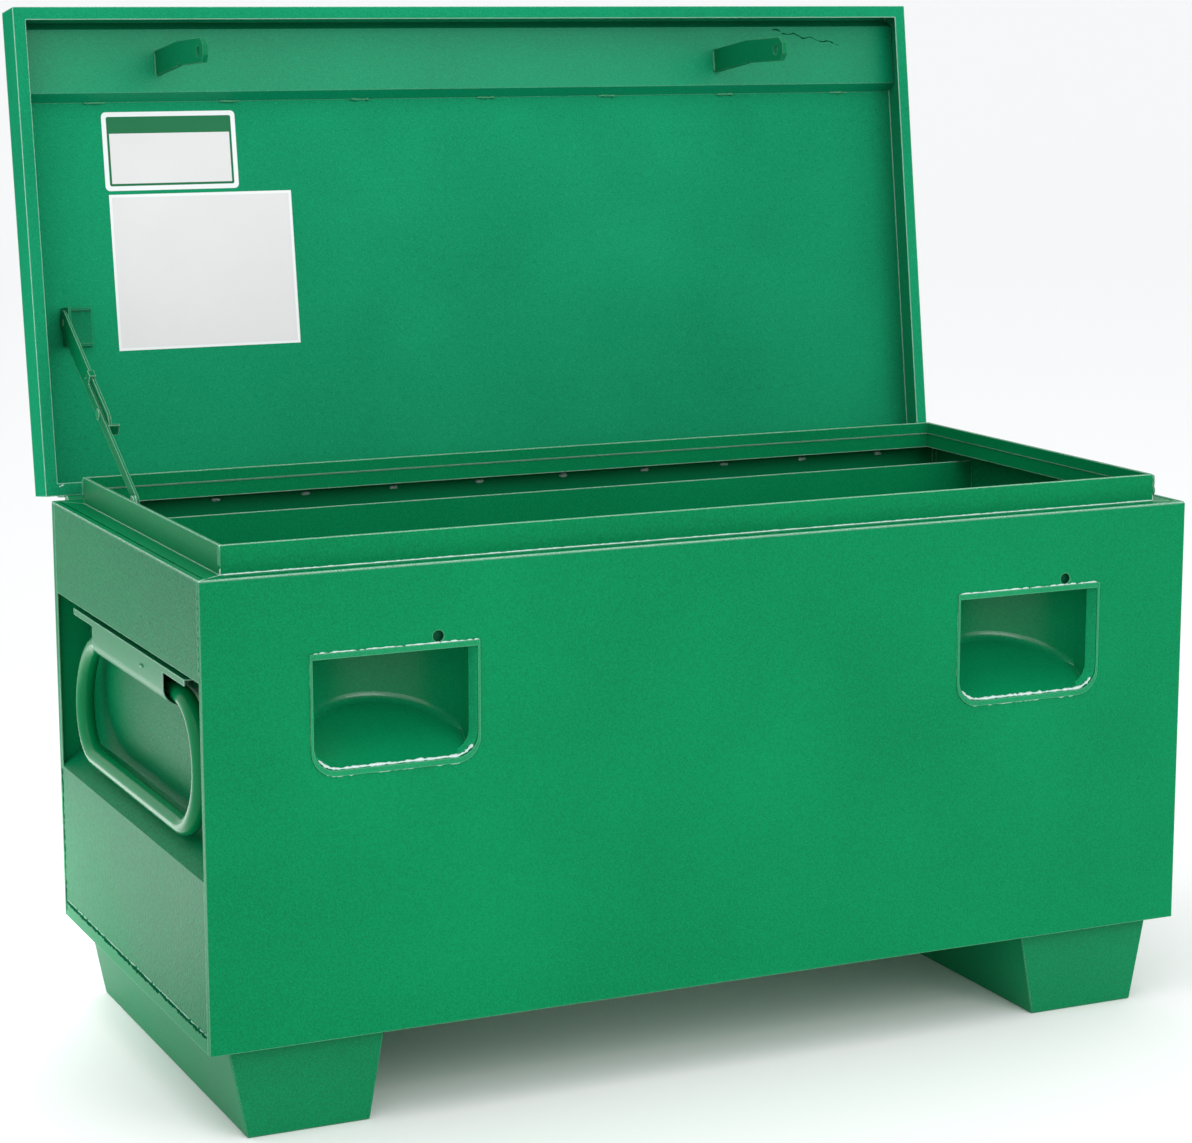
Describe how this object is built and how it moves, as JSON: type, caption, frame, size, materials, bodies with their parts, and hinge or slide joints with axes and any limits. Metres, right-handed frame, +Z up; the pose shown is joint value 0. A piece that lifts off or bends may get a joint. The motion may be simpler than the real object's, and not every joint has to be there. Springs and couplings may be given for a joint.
{
  "type": "jobsite storage box",
  "caption": "Steel tool chest with a hinged open lid on a folding stay, padlock pockets, a tool shelf, drop handles in end recesses and skids.",
  "frame": {"origin": "centre of the bounding box on the floor, with the lid open", "axes": "+X along the length to the right seen from the front, +Y to the back where the hinge is, +Z up"},
  "size_m": [1.0698, 0.6408, 1.0462],
  "materials": {
    "green_powder_coat": "satin"
  },
  "bodies": {
    "body": {"front_panel": "green_powder_coat", "rear_panel": "green_powder_coat", "left_end_panel": "green_powder_coat", "right_end_panel": "green_powder_coat", "floor_panel": "green_powder_coat", "front_rim_rail": "green_powder_coat", "rear_rim_rail": "green_powder_coat", "left_rim_rail": "green_powder_coat", "right_rim_rail": "green_powder_coat", "left_skid": "green_powder_coat", "right_skid": "green_powder_coat", "left_lock_pocket": "green_powder_coat", "right_lock_pocket": "green_powder_coat", "tool_shelf": "green_powder_coat", "hinge_body_leaf": "green_powder_coat", "hinge_pin": "green_powder_coat", "stay_foot": "green_powder_coat", "stay_foot_pin": "green_powder_coat", "left_handle_strap": "green_powder_coat", "right_handle_strap": "green_powder_coat"},
    "lid": {"lid_pan": "green_powder_coat", "lid_channel": "green_powder_coat", "hinge_lid_leaf": "green_powder_coat", "left_latch_tongue": "green_powder_coat", "right_latch_tongue": "green_powder_coat", "stay_bracket": "green_powder_coat", "stay_bracket_pin": "green_powder_coat"},
    "lower_stay": {"lower_arm": "green_powder_coat", "elbow_rivet_head": "green_powder_coat"},
    "upper_stay": {"upper_arm": "green_powder_coat", "elbow_rivet_tail": "green_powder_coat"},
    "left_handle": {"left_handle": "green_powder_coat"},
    "right_handle": {"right_handle": "green_powder_coat"}
  },
  "joints": [
    {"name": "lid_hinge", "type": "hinge", "parent": "body", "child": "lid", "pos_m": [0, 0.19852, 0.5336], "axis": [1, 0, 0], "range_deg": [0, 98]},
    {"name": "lower_arm_pivot", "type": "hinge", "parent": "body", "child": "lower_stay", "pos_m": [-0.498, -0.00988, 0.564], "axis": [1, 0, 0], "range_deg": [0, 152.59]},
    {"name": "upper_arm_pivot", "type": "hinge", "parent": "lid", "child": "upper_stay", "pos_m": [-0.4948, 0.25587, 0.71751], "axis": [1, 0, 0], "range_deg": [-125.61, 0]},
    {"name": "left_handle_swing", "type": "hinge", "parent": "body", "child": "left_handle", "pos_m": [-0.513, -0.05888, 0.40635], "axis": [0, 1, 0], "range_deg": [0, 86.8]},
    {"name": "right_handle_swing", "type": "hinge", "parent": "body", "child": "right_handle", "pos_m": [0.513, -0.05888, 0.40635], "axis": [0, -1, 0], "range_deg": [0, 86.8]}
  ],
  "couplings": [
    {"joint": "lower_arm_pivot", "follows": "lid_hinge", "ratio": 1.556},
    {"joint": "upper_arm_pivot", "follows": "lid_hinge", "ratio": -1.2807}
  ]
}
